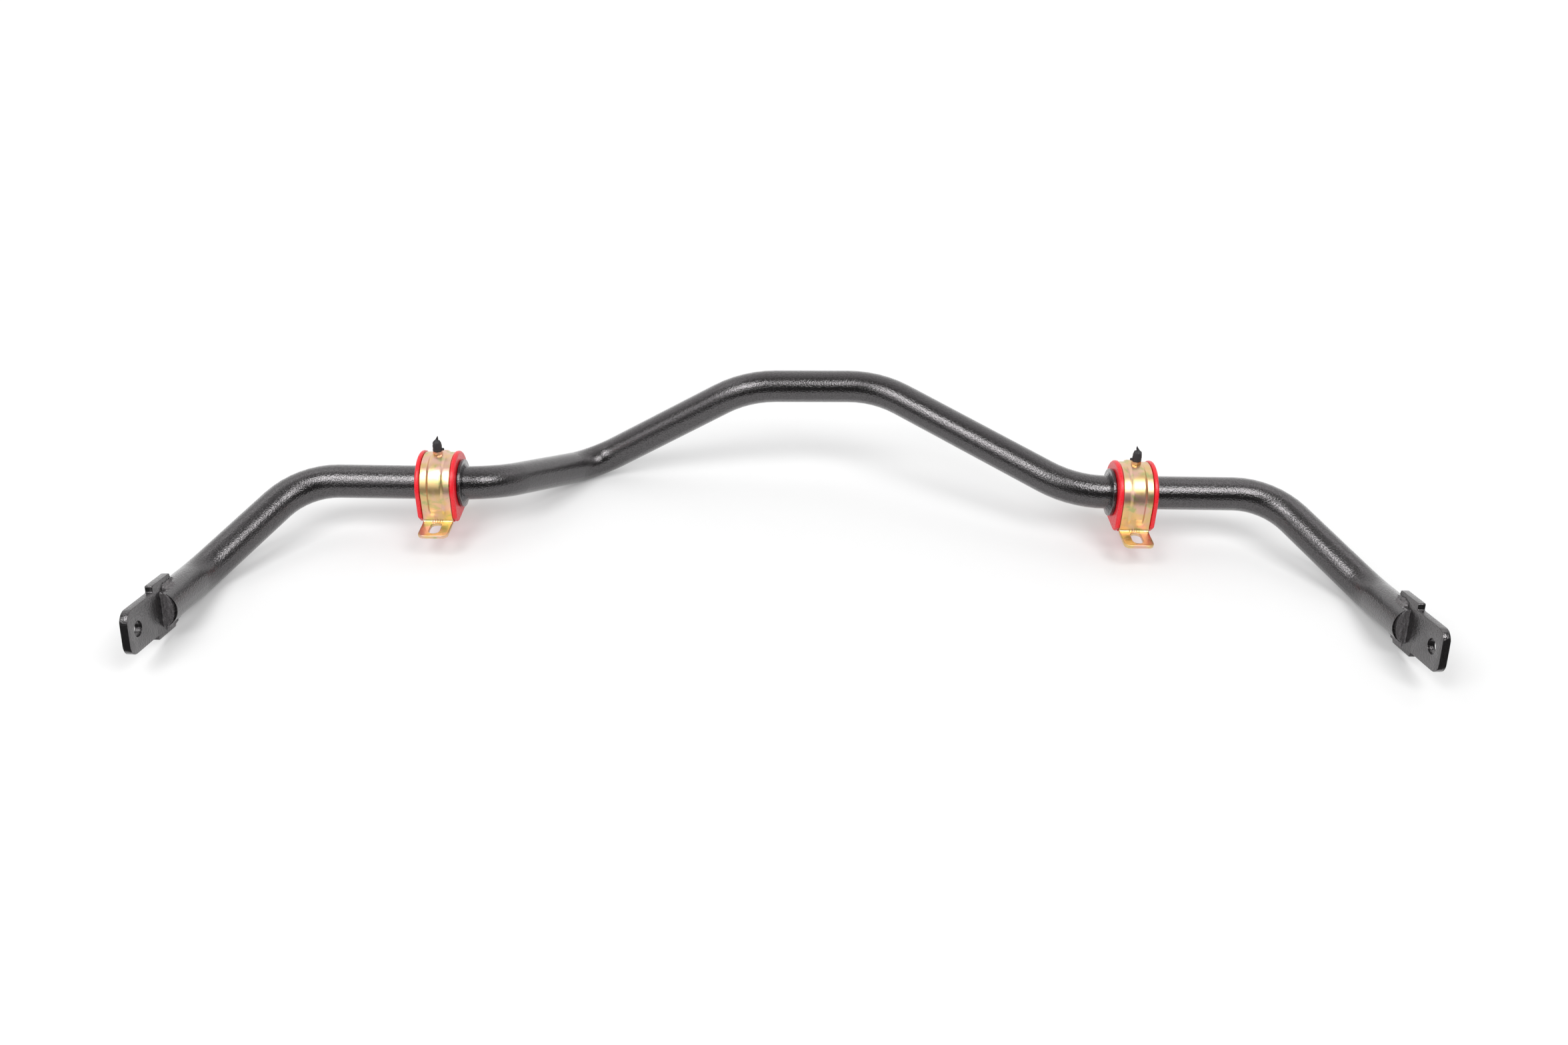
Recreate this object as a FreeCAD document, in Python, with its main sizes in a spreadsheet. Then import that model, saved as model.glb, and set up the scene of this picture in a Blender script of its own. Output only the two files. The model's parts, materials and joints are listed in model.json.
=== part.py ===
"""Front sway bar with its two bush-and-bracket sets, as a parametric FreeCAD document.

Frame: millimetres, +X towards the right wheel, +Y towards the back, +Z up.  The origin is on
the surface the bar lies on, under the middle of the whole assembly.  The straight stretches
that turn in the bushes share one axis, parallel to X, at (axis_y, axis_z).
"""
import FreeCAD, Part
import math
import os

import Sketcher

V = FreeCAD.Vector
X_AXIS = V(1, 0, 0)
Z_AXIS = V(0, 0, 1)
SIDES = (("left", -1), ("right", 1))

DIMENSIONS = (
    # the bushing axis in the part's frame
    ("axis_y", 50.524),
    ("axis_z", 54.777),
    # tube
    ("bar_diameter", 31.75),
    ("bar_wall", 4.76),
    # bend corners of the centreline, measured from the bushing axis
    ("elbow_x", 458.5),
    ("arm_x", 525.0),
    ("arm_y", -104.0),
    ("arm_z", -41.5),
    ("jog_x", -278.5),
    ("dip_x", -203.0),
    ("dip_y", 129.0),
    ("dip_z", -46.0),
    ("hump_left_x", -41.5),
    ("hump_left_y", 110.5),
    ("hump_left_z", 54.5),
    ("hump_right_x", 89.5),
    ("hump_right_y", 115.5),
    ("hump_right_z", 54.0),
    ("flank_x", 272.5),
    # bend radii of the centreline
    ("arm_bend", 47.0),
    ("elbow_bend", 60.0),
    ("jog_bend", 57.0),
    ("dip_bend", 41.0),
    ("hump_left_bend", 100.0),
    ("hump_right_bend", 88.0),
    ("flank_bend", 98.0),
    # end plates, measured from the link hole
    ("hole_y", -225.0),
    ("hole_z", -14.5),
    ("hole_radius", 6.5),
    ("plate_thick", 6.35),
    ("plate_tip", 16.0),
    ("plate_step", 31.0),
    ("plate_rear", 63.0),
    ("eye_half", 19.0),
    ("wing_half", 23.3),
    ("tip_corner", 10.0),
    ("wing_corner", 2.0),
    ("tube_end", 42.5),
    ("end_bevel_radius", 15.5),
    ("end_bevel_deep", 4.4),
    # welds
    ("bead_radius", 2.8),
    ("cap_radius", 13.5),
    ("cap_proud", 1.8),
    ("cap_depth", 6.0),
    # locating rings
    ("ring_x", 307.0),
    ("ring_radius", 22.5),
    ("ring_thick", 3.2),
    ("ring_edge", 0.6),
    ("ring_bead", 4.0),
    # bushes
    ("bush_x", 327.5),
    ("bush_long", 37.0),
    ("bore_clear", 0.15),
    ("flange_radius", 30.5),
    ("flange_chamfer", 7.0),
    ("flange_edge", 1.6),
    ("bush_floor", 28.8),
    ("seat_radius", 26.0),
    ("seat_long", 28.6),
    ("groove_wide", 3.0),
    ("groove_deep", 1.5),
    ("flute_radius", 1.3),
    ("flute_count", 6),
    ("slit_wide", 0.6),
    ("slit_rise", 6.0),
    # brackets
    ("strap_inner", 26.1),
    ("sheet", 3.2),
    ("strap_wide", 28.0),
    ("base_drop", 29.0),
    ("bead_rise", 1.8),
    ("bead_wide", 12.0),
    ("channel_wide", 6.0),
    ("bead_foot", 12.0),
    ("foot_reach", 55.5),
    ("foot_corner", 6.0),
    ("bend_inside", 2.0),
    ("slot_offset", 41.275),
    ("slot_long", 19.0),
    ("slot_wide", 10.0),
    # grease nipples, heights measured from the top of the strap's bead
    ("shank_radius", 3.1),
    ("shank_down", 7.5),
    ("hex_across", 8.0),
    ("hex_tall", 3.0),
    ("neck_radius", 2.5),
    ("neck_top", 7.2),
    ("head_radius", 3.25),
    ("head_low", 8.2),
    ("head_high", 10.2),
    ("nipple_top", 11.6),
    ("nose_radius", 1.9),
    ("mouth_radius", 0.8),
    ("mouth_deep", 1.0),
    ("gallery_radius", 1.5),
    ("crimp_radius", 0.9),
    ("crimp_tall", 1.0),
    # check balls and their springs
    ("ball_radius", 1.2),
    ("ball_up", 9.49),
    ("coil_radius", 1.1),
    ("coil_wire", 0.2),
    ("coil_pitch", 1.4),
    # dust caps
    ("cap_low", 3.3),
    ("cap_wall_radius", 4.5),
    ("cap_inside", 3.6),
    ("cap_roof", 12.2),
    ("cap_shoulder", 13.0),
    ("nib_low", 14.4),
    ("nib_radius", 1.3),
    ("nib_tip", 0.5),
    ("cap_top", 18.3),
    ("tab_reach", 6.2),
    ("tab_wide", 2.6),
    ("tab_tall", 2.4),
)

doc = FreeCAD.newDocument("sway_bar")
sheet = doc.addObject("Spreadsheet::Sheet", "dims")
for number, (alias, amount) in enumerate(DIMENSIONS, 1):
    sheet.set("A%d" % number, alias)
    sheet.set("B%d" % number, str(amount))
    sheet.setAlias("B%d" % number, alias)
doc.recompute()

cuts = []
pieces = []


# ---------------------------------------------------------------- helpers


def value(formula):
    """Number that a formula on the sheet's cells comes to."""
    return float(sheet.evalExpression(formula))


def bind(target, formulas):
    for name, formula in formulas.items():
        target.setExpression(name, formula)


def place(target, x="0", y="dims.axis_y", z="dims.axis_z"):
    """Tie an object's position to the sheet."""
    bind(target, {"Placement.Base.x": x, "Placement.Base.y": y, "Placement.Base.z": z})


def add_blank(label, **position):
    """Body that a later cut turns into a piece."""
    body = doc.addObject("PartDesign::Body", label)
    body.Label = label
    place(body, **position)
    return body


def add_body(label, **position):
    """Body that is a piece as it stands."""
    body = add_blank(label, **position)
    pieces.append(body)
    return body


def add_sketch(body, role, offset="0"):
    """Sketch on one of the body's own origin planes, moved along the plane's normal."""
    sketch = body.newObject("Sketcher::SketchObject", body.Name + "_sketch")
    plane = next(item for item in body.Origin.OriginFeatures if item.Role == role)
    sketch.AttachmentSupport = [(plane, "")]
    sketch.MapMode = "FlatFace"
    sketch.setExpression("AttachmentOffset.Base.z", offset)
    return sketch


def constrain(sketch, kind, *arguments, formula):
    index = sketch.addConstraint(Sketcher.Constraint(kind, *arguments, value(formula)))
    sketch.setExpression("Constraints[%d]" % index, formula)


def pin_point(sketch, edge, end, x, y):
    """Hold a point of an edge at (x, y) from the sketch's origin."""
    constrain(sketch, "DistanceX", -1, 1, edge, end, formula=x)
    constrain(sketch, "DistanceY", -1, 1, edge, end, formula=y)


def draw_outline(sketch, corners):
    """Closed polygon whose corners are pairs of formulas."""
    points = [V(value(x), value(y), 0) for x, y in corners]
    first = sketch.GeometryCount
    for start, end in zip(points, points[1:] + points[:1]):
        sketch.addGeometry(Part.LineSegment(start, end))
    for step, (x, y) in enumerate(corners):
        following = first + (step + 1) % len(corners)
        sketch.addConstraint(Sketcher.Constraint("Coincident", first + step, 2, following, 1))
        pin_point(sketch, first + step, 1, x, y)


def draw_circle(sketch, radius, x="0", y="0"):
    circle = Part.Circle(V(value(x), value(y), 0), Z_AXIS, value(radius))
    edge = sketch.addGeometry(circle)
    constrain(sketch, "Radius", edge, formula=radius)
    pin_point(sketch, edge, 3, x, y)


def draw_slot(sketch, x, y, half_run, radius):
    """Round-ended slot along the sketch's vertical axis, centred on (x, y)."""
    centre = V(value(x), value(y), 0)
    run = V(0, value(half_run), 0)
    side = V(value(radius), 0, 0)
    top = sketch.addGeometry(
        Part.ArcOfCircle(Part.Circle(centre + run, Z_AXIS, side.x), 0, math.pi)
    )
    bottom = sketch.addGeometry(
        Part.ArcOfCircle(Part.Circle(centre - run, Z_AXIS, side.x), math.pi, 2 * math.pi)
    )
    left = sketch.addGeometry(Part.LineSegment(centre + run - side, centre - run - side))
    right = sketch.addGeometry(Part.LineSegment(centre - run + side, centre + run + side))
    for chain in ((top, left), (left, bottom), (bottom, right), (right, top)):
        sketch.addConstraint(Sketcher.Constraint("Tangent", chain[0], 2, chain[1], 1))
    sketch.addConstraint(Sketcher.Constraint("Equal", top, bottom))
    constrain(sketch, "Radius", top, formula=radius)
    pin_point(sketch, top, 3, x, "%s + %s" % (y, half_run))
    pin_point(sketch, bottom, 3, x, "%s - %s" % (y, half_run))


def pad(body, sketch, length, side_type="Symmetric"):
    feature = body.newObject("PartDesign::Pad", body.Name + "_pad")
    feature.Profile = sketch
    feature.SideType = side_type
    feature.setExpression("Length", length)
    doc.recompute()
    return feature


def pocket(body, sketch, length=None, side_type="Symmetric", backwards=False):
    """Cut the sketch through the body, or to a length from its plane."""
    feature = body.newObject("PartDesign::Pocket", body.Name + "_pocket")
    feature.Profile = sketch
    feature.SideType = side_type
    feature.Reversed = backwards
    if length is None:
        feature.Type = "ThroughAll"
    else:
        feature.setExpression("Length", length)
    doc.recompute()
    cuts.append(feature)
    return feature


def revolve(body, kind, sketch, axis):
    """PartDesign Revolution or Groove, a full turn about one of the sketch's axes."""
    feature = body.newObject("PartDesign::" + kind, body.Name + "_turned")
    feature.Profile = sketch
    feature.ReferenceAxis = (sketch, [axis])
    feature.Angle = 360
    doc.recompute()
    if kind == "Groove":
        cuts.append(feature)
    return feature


def round_edges(body, base, radius, wanted):
    """Fillet the edges of a feature that the test function picks."""
    feature = body.newObject("PartDesign::Fillet", body.Name + "_fillet")
    names = ["Edge%d" % (i + 1) for i, edge in enumerate(base.Shape.Edges) if wanted(edge)]
    feature.Base = (base, names)
    feature.setExpression("Radius", radius)
    doc.recompute()
    return feature


def edge_box(edge):
    return edge.BoundBox


def publish(shape_object, label):
    """Make a boolean's or a feature's result one of the part's pieces."""
    shape_object.Label = label
    pieces.append(shape_object)
    return shape_object


# ---------------------------------------------------------------- tube


def corner(*aliases):
    """Point of the bent centreline in the part's frame."""
    x, y, z = (value(alias) for alias in aliases)
    return V(x, y + value("dims.axis_y"), z + value("dims.axis_z"))


def arm_rise():
    """Angle, in degrees, by which the arm's last stretch climbs towards the link hole."""
    run = value("dims.arm_y - dims.hole_y")
    rise = value("dims.hole_z - dims.arm_z")
    return math.degrees(math.atan2(rise, run))


def plate_frame(side):
    """Placement with its origin in the link hole and +Y running back along the plate."""
    x = side * value("dims.arm_x")
    origin = V(x, value("dims.hole_y + dims.axis_y"), value("dims.hole_z + dims.axis_z"))
    return FreeCAD.Placement(origin, FreeCAD.Rotation(X_AXIS, -arm_rise()))


def centreline():
    """Wire of straight runs and tangent arcs from the left tube end to the right one."""
    tube_end = V(0, value("dims.tube_end"), 0)
    corners = [
        plate_frame(-1).multVec(tube_end),
        corner("-dims.arm_x", "dims.arm_y", "dims.arm_z"),
        corner("-dims.elbow_x", "0", "0"),
        corner("dims.jog_x", "0", "0"),
        corner("dims.dip_x", "dims.dip_y", "dims.dip_z"),
        corner("dims.hump_left_x", "dims.hump_left_y", "dims.hump_left_z"),
        corner("dims.hump_right_x", "dims.hump_right_y", "dims.hump_right_z"),
        corner("dims.flank_x", "0", "0"),
        corner("dims.elbow_x", "0", "0"),
        corner("dims.arm_x", "dims.arm_y", "dims.arm_z"),
        plate_frame(1).multVec(tube_end),
    ]
    bends = ("arm", "elbow", "jog", "dip", "hump_left", "hump_right", "flank", "elbow", "arm")
    radii = [value("dims.%s_bend" % bend) for bend in bends]
    edges = []
    here = corners[0]
    for before, point, after, radius in zip(corners, corners[1:], corners[2:], radii):
        back = (before - point).normalize()
        ahead = (after - point).normalize()
        half_turn = (math.pi - back.getAngle(ahead)) / 2
        trim = radius * math.tan(half_turn)
        middle = (back + ahead).normalize() * (radius / math.cos(half_turn) - radius)
        arc_start = point + back * trim
        arc_end = point + ahead * trim
        edges.append(Part.LineSegment(here, arc_start).toShape())
        edges.append(Part.Arc(arc_start, point + middle, arc_end).toShape())
        here = arc_end
    edges.append(Part.LineSegment(here, corners[-1]).toShape())
    return Part.Wire(edges)


def sweep_circle(path, label, radius):
    """Solid round rod of the given radius along the centreline."""
    first = path.Shape.Edges[0]
    start = first.Vertexes[0].Point
    heading = first.tangentAt(first.FirstParameter)
    circle = doc.addObject("Part::Circle", label + "_profile")
    circle.setExpression("Radius", radius)
    circle.Placement = FreeCAD.Placement(start, FreeCAD.Rotation(Z_AXIS, heading))
    rod = doc.addObject("Part::Sweep", label)
    rod.Sections = [circle]
    rod.Spine = (path, ["Edge%d" % (i + 1) for i in range(len(path.Shape.Edges))])
    rod.Solid = True
    rod.Frenet = False
    return rod


def cut(label, base, tool):
    result = doc.addObject("Part::Cut", label)
    result.Base = base
    result.Tool = tool
    return result


def make_tube():
    """Bent round tube, its mouths bevelled inside and slit for the plates."""
    path = doc.addObject("Part::Feature", "bar_centreline")
    path.Shape = centreline()
    path.Placement = FreeCAD.Placement()
    outside = sweep_circle(path, "tube_outside", "dims.bar_diameter / 2")
    inside = sweep_circle(path, "tube_inside", "dims.bar_diameter / 2 - dims.bar_wall")
    tube = cut("tube_plain", outside, inside)
    for name, side in SIDES:
        slit = doc.addObject("Part::Box", "tube_slit_" + name)
        bind(slit, {
            "Length": "dims.plate_thick",
            "Width": "dims.plate_rear - dims.tube_end + dims.plate_thick",
            "Height": "dims.bar_diameter + dims.plate_thick",
        })
        doc.recompute()
        corner_offset = V(
            -slit.Length.Value / 2,
            value("dims.plate_rear") - slit.Width.Value,
            -slit.Height.Value / 2,
        )
        slit.Placement = plate_frame(side) * FreeCAD.Placement(corner_offset, FreeCAD.Rotation())
        tube = cut("tube_slit_%s_cut" % name, tube, slit)
        cuts.append(tube)
        bevel = doc.addObject("Part::Cone", "tube_bevel_" + name)
        bind(bevel, {
            "Radius1": "dims.bar_diameter / 2 - dims.bar_wall",
            "Radius2": "dims.end_bevel_radius",
            "Height": "dims.end_bevel_deep",
        })
        mouth = FreeCAD.Placement(
            V(0, value("dims.tube_end + dims.end_bevel_deep"), 0),
            FreeCAD.Rotation(Z_AXIS, V(0, -1, 0)),
        )
        bevel.Placement = plate_frame(side) * mouth
        tube = cut("tube_bevel_%s_cut" % name, tube, bevel)
        cuts.append(tube)
    doc.recompute()
    return publish(tube, "bar_tube")


# ---------------------------------------------------------------- end plates and welds


def make_plate(name, side):
    """Flat link plate: a round-cornered eye and two wings that pass through the tube."""
    body = add_body("end_plate_" + name, x="%d * dims.arm_x" % side,
                    y="dims.hole_y + dims.axis_y", z="dims.hole_z + dims.axis_z")
    body.Placement = plate_frame(side)
    outline = add_sketch(body, "YZ_Plane")
    draw_outline(outline, (
        ("-dims.plate_tip", "-dims.eye_half"),
        ("dims.plate_step", "-dims.eye_half"),
        ("dims.plate_step", "-dims.wing_half"),
        ("dims.plate_rear", "-dims.wing_half"),
        ("dims.plate_rear", "dims.wing_half"),
        ("dims.plate_step", "dims.wing_half"),
        ("dims.plate_step", "dims.eye_half"),
        ("-dims.plate_tip", "dims.eye_half"),
    ))
    flat = pad(body, outline, "dims.plate_thick")
    tip = -value("dims.plate_tip")
    rounded = round_edges(body, flat, "dims.tip_corner",
                          lambda edge: abs(edge_box(edge).YMax - tip) < 0.01
                          and edge_box(edge).ZLength < 0.01)
    wing = value("dims.wing_half")
    rounded = round_edges(body, rounded, "dims.wing_corner",
                          lambda edge: abs(abs(edge_box(edge).Center.z) - wing) < 0.01
                          and edge_box(edge).YLength < 0.01)
    hole = add_sketch(body, "YZ_Plane")
    draw_circle(hole, "dims.hole_radius")
    pocket(body, hole)
    return body


def rod_at(frame, start, heading, length, radius, label):
    """Part::Cylinder in a local frame, its radius tied to the sheet."""
    rod = doc.addObject("Part::Cylinder", label)
    rod.setExpression("Radius", radius)
    rod.setExpression("Height", length)
    rod.Placement = frame * FreeCAD.Placement(start, FreeCAD.Rotation(Z_AXIS, heading))
    return rod


def weld_group(label, rods, tube, plate):
    """Weld metal: rods with the steel they lie against cut away."""
    lump = rods[0]
    if len(rods) > 1:
        lump = doc.addObject("Part::MultiFuse", label + "_rods")
        lump.Shapes = rods
    off_tube = cut(label + "_off_tube", lump, tube)
    return publish(cut(label, off_tube, plate), label)


def make_plate_welds(name, side, tube, plate):
    """Fillet beads along the plate's wings, and the capping weld over the tube's end."""
    frame = plate_frame(side)
    half_plate = value("dims.plate_thick / 2")
    corner_z = value("sqrt((dims.bar_diameter / 2)^2 - (dims.plate_thick / 2)^2)")
    tube_end = value("dims.tube_end")
    bevel_end = value("dims.tube_end + dims.end_bevel_deep")
    rear = value("dims.plate_rear")
    back = V(0, 1, 0)
    beads = []
    for side_x in (-1, 1):
        for side_z in (-1, 1):
            start = V(side_x * half_plate, bevel_end, side_z * corner_z)
            beads.append(rod_at(frame, start, back,
                                "dims.plate_rear - dims.tube_end - dims.end_bevel_deep",
                                "dims.bead_radius", "seam_bead"))
    for side_z in (-1, 1):
        start = V(0, rear, side_z * corner_z)
        beads.append(rod_at(frame, start, V(0, 0, side_z),
                            "dims.wing_half - dims.bar_diameter / 2 - 1",
                            "dims.bead_radius + 0.4", "rear_bead"))
    weld_group("plate_weld_" + name, beads, tube, plate)
    start = V(0, tube_end + value("dims.cap_depth"), 0)
    disc = rod_at(frame, start, V(0, -1, 0), "dims.cap_depth + dims.cap_proud",
                  "dims.cap_radius", "end_disc")
    weld_group("end_weld_" + name, [disc], tube, plate)


# ---------------------------------------------------------------- locating rings


def make_ring(name, side, tube):
    """Flat ring that keeps the bush from walking along the bar."""
    body = add_blank("ring_blank_" + name, x="%d * dims.ring_x" % side)
    outline = add_sketch(body, "YZ_Plane")
    draw_circle(outline, "dims.ring_radius")
    draw_circle(outline, "dims.bar_diameter / 2 - 1")
    disc = pad(body, outline, "dims.ring_thick")
    outer = value("dims.ring_radius")
    round_edges(body, disc, "dims.ring_edge",
                lambda edge: abs(edge_box(edge).ZMax - outer) < 0.01
                and edge_box(edge).XLength < 0.01)
    publish(cut("locating_ring_" + name, body, tube), "locating_ring_" + name)


def make_ring_weld(name, side, tube):
    """Fillet bead round the bar on the ring's inboard face."""
    body = add_blank("ring_bead_" + name, x="%d * dims.ring_x" % side)
    profile = add_sketch(body, "XY_Plane")
    inboard = "%d" % -side
    draw_outline(profile, (
        (inboard + " * dims.ring_thick / 2", "dims.bar_diameter / 2 - 1"),
        (inboard + " * (dims.ring_thick / 2 + dims.ring_bead)", "dims.bar_diameter / 2 - 1"),
        (inboard + " * (dims.ring_thick / 2 + dims.ring_bead)", "dims.bar_diameter / 2 + 0.3"),
        (inboard + " * dims.ring_thick / 2", "dims.bar_diameter / 2 + dims.ring_bead"),
    ))
    revolve(body, "Revolution", profile, "H_Axis")
    publish(cut("ring_weld_" + name, body, tube), "ring_weld_" + name)


# ---------------------------------------------------------------- bushes


def draw_block(sketch, half_width, drop, chamfer):
    """Lower half of a D: straight sides and a flat bottom with chamfered corners."""
    draw_outline(sketch, (
        ("-(%s)" % half_width, "0"),
        ("-(%s)" % half_width, "%s - (%s)" % (chamfer, drop)),
        ("%s - (%s)" % (chamfer, half_width), "-(%s)" % drop),
        ("(%s) - %s" % (half_width, chamfer), "-(%s)" % drop),
        (half_width, "%s - (%s)" % (chamfer, drop)),
        (half_width, "0"),
    ))


def pad_d_shape(body, radius, drop, chamfer, length, offset):
    """D-shaped slab: a disc on the bar's axis and the block below it."""
    disc = add_sketch(body, "YZ_Plane", offset)
    draw_circle(disc, radius)
    pad(body, disc, length)
    block = add_sketch(body, "YZ_Plane", offset)
    draw_block(block, radius, drop, chamfer)
    return pad(body, block, length)


def make_bush(name, side):
    """Split polyurethane bush with two flanges, a fluted bore and a ring-shaped grease groove."""
    body = add_body("bushing_" + name, x="%d * dims.bush_x" % side)
    pad_d_shape(body, "dims.seat_radius", "dims.bush_floor", "1", "dims.bush_long", "0")
    flange_long = "(dims.bush_long - dims.seat_long) / 2"
    flange_centre = "(dims.bush_long + dims.seat_long) / 4"
    solid = None
    for end in ("-", ""):
        solid = pad_d_shape(body, "dims.flange_radius", "dims.bush_floor",
                            "dims.flange_chamfer", flange_long, end + flange_centre)
    half_long = value("dims.bush_long / 2")
    solid = round_edges(body, solid, "dims.flange_edge",
                        lambda edge: abs(abs(edge_box(edge).Center.x) - half_long) < 0.01
                        and edge_box(edge).XLength < 0.01)
    bore = add_sketch(body, "YZ_Plane")
    draw_circle(bore, "dims.bar_diameter / 2 + dims.bore_clear")
    pocket(body, bore)
    ring = add_sketch(body, "XY_Plane")
    draw_outline(ring, (
        ("-dims.groove_wide / 2", "dims.bar_diameter / 2 - 1"),
        ("dims.groove_wide / 2", "dims.bar_diameter / 2 - 1"),
        ("dims.groove_wide / 2", "dims.bar_diameter / 2 + dims.groove_deep"),
        ("-dims.groove_wide / 2", "dims.bar_diameter / 2 + dims.groove_deep"),
    ))
    revolve(body, "Groove", ring, "H_Axis")
    flute = add_sketch(body, "YZ_Plane")
    draw_circle(flute, "dims.flute_radius", "0", "dims.bar_diameter / 2")
    first_flute = pocket(body, flute)
    flutes = body.newObject("PartDesign::PolarPattern", body.Name + "_flutes")
    flutes.Originals = [first_flute]
    flutes.Axis = (flute, ["N_Axis"])
    flutes.Angle = 360
    flutes.setExpression("Occurrences", "dims.flute_count")
    body.Tip = flutes
    doc.recompute()
    slit = add_sketch(body, "YZ_Plane")
    draw_outline(slit, (
        ("dims.bar_diameter / 2 - 2", "0"),
        ("dims.flange_radius + 2", "dims.slit_rise"),
        ("dims.flange_radius + 2", "dims.slit_rise + dims.slit_wide"),
        ("dims.bar_diameter / 2 - 2", "dims.slit_wide"),
    ))
    pocket(body, slit)
    feed = add_sketch(body, "XY_Plane")
    draw_circle(feed, "dims.shank_radius + 0.3")
    pocket(body, feed, "dims.flange_radius", "One side", True)


# ---------------------------------------------------------------- brackets


def pad_arch(body, radius, foot_drop, length):
    """Half-round arch and the legs under it, across the strap."""
    arch = add_sketch(body, "YZ_Plane")
    draw_circle(arch, radius)
    pad(body, arch, length)
    legs = add_sketch(body, "YZ_Plane")
    draw_block(legs, radius, foot_drop, "0.5")
    return pad(body, legs, length)


def pocket_arch(body, radius, foot_drop, length):
    """Same arch, cut out instead of added."""
    arch = add_sketch(body, "YZ_Plane")
    draw_circle(arch, radius)
    pocket(body, arch, length)
    legs = add_sketch(body, "YZ_Plane")
    draw_outline(legs, (
        ("-(%s)" % radius, "0"),
        ("-(%s)" % radius, "-(%s)" % foot_drop),
        (radius, "-(%s)" % foot_drop),
        (radius, "0"),
    ))
    return pocket(body, legs, length)


def make_bracket(name, side):
    """Pressed strap with a raised band over its crown and two slotted feet."""
    body = add_body("bracket_" + name, x="%d * dims.bush_x" % side)
    outer = "dims.strap_inner + dims.sheet"
    feet = add_sketch(body, "YZ_Plane")
    draw_outline(feet, (
        ("-dims.foot_reach", "-dims.base_drop"),
        ("dims.foot_reach", "-dims.base_drop"),
        ("dims.foot_reach", "dims.sheet - dims.base_drop"),
        ("-dims.foot_reach", "dims.sheet - dims.base_drop"),
    ))
    solid = pad(body, feet, "dims.strap_wide")
    reach = value("dims.foot_reach")
    round_edges(body, solid, "dims.foot_corner",
                lambda edge: abs(abs(edge_box(edge).Center.y) - reach) < 0.01
                and edge_box(edge).XLength < 0.01)
    solid = pad_arch(body, outer, "dims.base_drop - 1", "dims.strap_wide")
    leg = value(outer)
    foot_top = value("dims.sheet - dims.base_drop")
    round_edges(body, solid, "dims.bend_inside",
                lambda edge: abs(abs(edge_box(edge).Center.y) - leg) < 0.01
                and abs(edge_box(edge).Center.z - foot_top) < 0.01
                and edge_box(edge).YLength < 0.01)
    pad_arch(body, outer + " + dims.bead_rise", "dims.bead_foot", "dims.bead_wide")
    pocket_arch(body, "dims.strap_inner", "dims.base_drop + dims.sheet", "dims.strap_wide + 2")
    solid = pocket_arch(body, "dims.strap_inner + dims.bead_rise", "dims.bead_foot - 2",
                        "dims.channel_wide")
    inner = value("dims.strap_inner")
    base = -value("dims.base_drop")
    round_edges(body, solid, "dims.bend_inside + dims.sheet - 0.2",
                lambda edge: abs(abs(edge_box(edge).Center.y) - inner) < 0.01
                and abs(edge_box(edge).Center.z - base) < 0.01
                and edge_box(edge).YLength < 0.01)
    slots = add_sketch(body, "XY_Plane")
    half_run = "(dims.slot_long - dims.slot_wide) / 2"
    for sign in ("-", ""):
        draw_slot(slots, "0", sign + "dims.slot_offset", half_run, "dims.slot_wide / 2")
    pocket(body, slots)
    tapped = add_sketch(body, "XY_Plane")
    draw_circle(tapped, "dims.shank_radius")
    pocket(body, tapped, "dims.foot_reach", "One side", True)


# ---------------------------------------------------------------- grease nipples


NIPPLE_SEAT = "dims.axis_z + dims.strap_inner + dims.sheet + dims.bead_rise"


def make_nipple(name, side):
    """Hollow grease nipple: threaded shank, hexagon, neck and ball-shaped head."""
    body = add_body("grease_nipple_" + name, x="%d * dims.bush_x" % side, z=NIPPLE_SEAT)
    profile = add_sketch(body, "XZ_Plane")
    draw_outline(profile, (
        ("dims.crimp_radius", "-dims.shank_down"),
        ("dims.shank_radius", "-dims.shank_down"),
        ("dims.shank_radius", "dims.hex_tall"),
        ("dims.neck_radius", "dims.hex_tall + 0.6"),
        ("dims.neck_radius", "dims.neck_top"),
        ("dims.head_radius", "dims.head_low"),
        ("dims.head_radius", "dims.head_high"),
        ("dims.nose_radius", "dims.nipple_top"),
        ("dims.mouth_radius", "dims.nipple_top"),
        ("dims.mouth_radius", "dims.nipple_top - dims.mouth_deep"),
        ("dims.gallery_radius",
         "dims.nipple_top - dims.mouth_deep - dims.gallery_radius + dims.mouth_radius"),
        ("dims.gallery_radius", "dims.crimp_tall - dims.shank_down"),
        ("dims.crimp_radius", "dims.crimp_tall - dims.shank_down"),
    ))
    revolve(body, "Revolution", profile, "V_Axis")
    hexagon = add_sketch(body, "XY_Plane")
    turns = [30 + 60 * step for step in range(6)]
    corner_formula = "dims.hex_across / 2 / cos(30 deg) * %s(%d deg)"
    draw_outline(hexagon, [
        (corner_formula % ("cos", turn), corner_formula % ("sin", turn)) for turn in turns
    ])
    draw_circle(hexagon, "dims.gallery_radius")
    pad(body, hexagon, "dims.hex_tall", "One side")


def make_check_ball(name, side):
    """Ball that closes the nipple's mouth from inside."""
    ball = doc.addObject("Part::Sphere", "check_ball_" + name)
    ball.setExpression("Radius", "dims.ball_radius")
    place(ball, x="%d * dims.bush_x" % side, z=NIPPLE_SEAT + " + dims.ball_up")
    publish(ball, "check_ball_" + name)


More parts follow.
